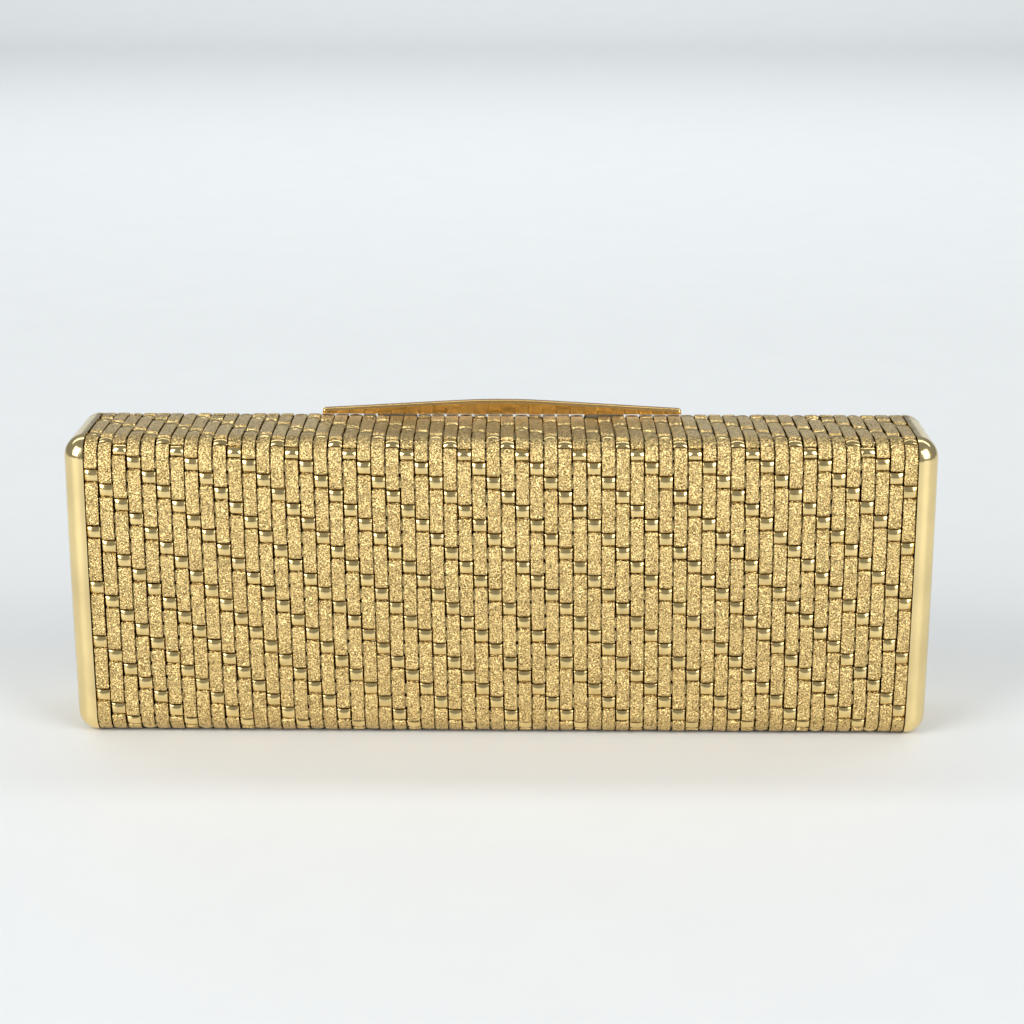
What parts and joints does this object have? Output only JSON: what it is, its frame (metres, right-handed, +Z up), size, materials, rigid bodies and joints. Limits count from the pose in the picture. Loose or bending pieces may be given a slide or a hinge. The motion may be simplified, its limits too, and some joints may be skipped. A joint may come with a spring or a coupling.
{
  "type": "evening bag",
  "caption": "Rigid rectangular box clutch covered in woven metal strip, with polished end caps, a shallow hinged lid at the back and a rocking thumb bar latch on top.",
  "frame": {"origin": "centre of the bag's bounding box in plan, on the surface that it stands on", "axes": "+X along the bag, +Y from its front to its back, +Z up"},
  "size_m": [0.2, 0.031, 0.0756],
  "materials": {
    "polished_gilt_brass": "polished, gilt",
    "woven_gilt_strip": "gilt: frosted up the bag, polished along it",
    "pressed_steel": "bare, drawn",
    "spring_steel": "blued wire",
    "satin_lining": "satin"
  },
  "bodies": {
    "body": {"body_pan": "pressed_steel", "body_weave": "woven_gilt_strip", "body_cap_left": "polished_gilt_brass", "body_cap_right": "polished_gilt_brass", "body_rim": "polished_gilt_brass", "body_lining_floor": "satin_lining", "body_lining_wall": "satin_lining", "cap_studs": "pressed_steel", "rim_rivets": "pressed_steel", "body_hinge_knuckles": "polished_gilt_brass", "hinge_pin": "pressed_steel", "latch_keepers": "polished_gilt_brass", "stay_guides": "polished_gilt_brass"},
    "lid": {"lid_pan": "pressed_steel", "lid_weave": "woven_gilt_strip", "lid_cap_left": "polished_gilt_brass", "lid_cap_right": "polished_gilt_brass", "lid_rim": "polished_gilt_brass", "lid_pad": "satin_lining", "lid_hinge_knuckles": "polished_gilt_brass", "latch_brackets": "pressed_steel", "latch_pins": "pressed_steel", "bracket_rivets": "pressed_steel", "stay_left": "polished_gilt_brass", "stay_right": "polished_gilt_brass"},
    "latch": {"thumb_bar": "polished_gilt_brass", "latch_levers": "pressed_steel", "latch_springs": "spring_steel"}
  },
  "joints": [
    {"name": "lid_hinge", "type": "hinge", "parent": "body", "child": "lid", "pos_m": [0, 0.009, 0.0015], "axis": [-1, 0, 0], "range_deg": [0, 60]},
    {"name": "thumb_bar_rock", "type": "hinge", "parent": "lid", "child": "latch", "pos_m": [0, 0.0113, 0.0659], "axis": [-1, 0, 0], "range_deg": [0, 7], "stiffness_Nm_per_rad": 0.1, "springref_deg": -17.19}
  ]
}
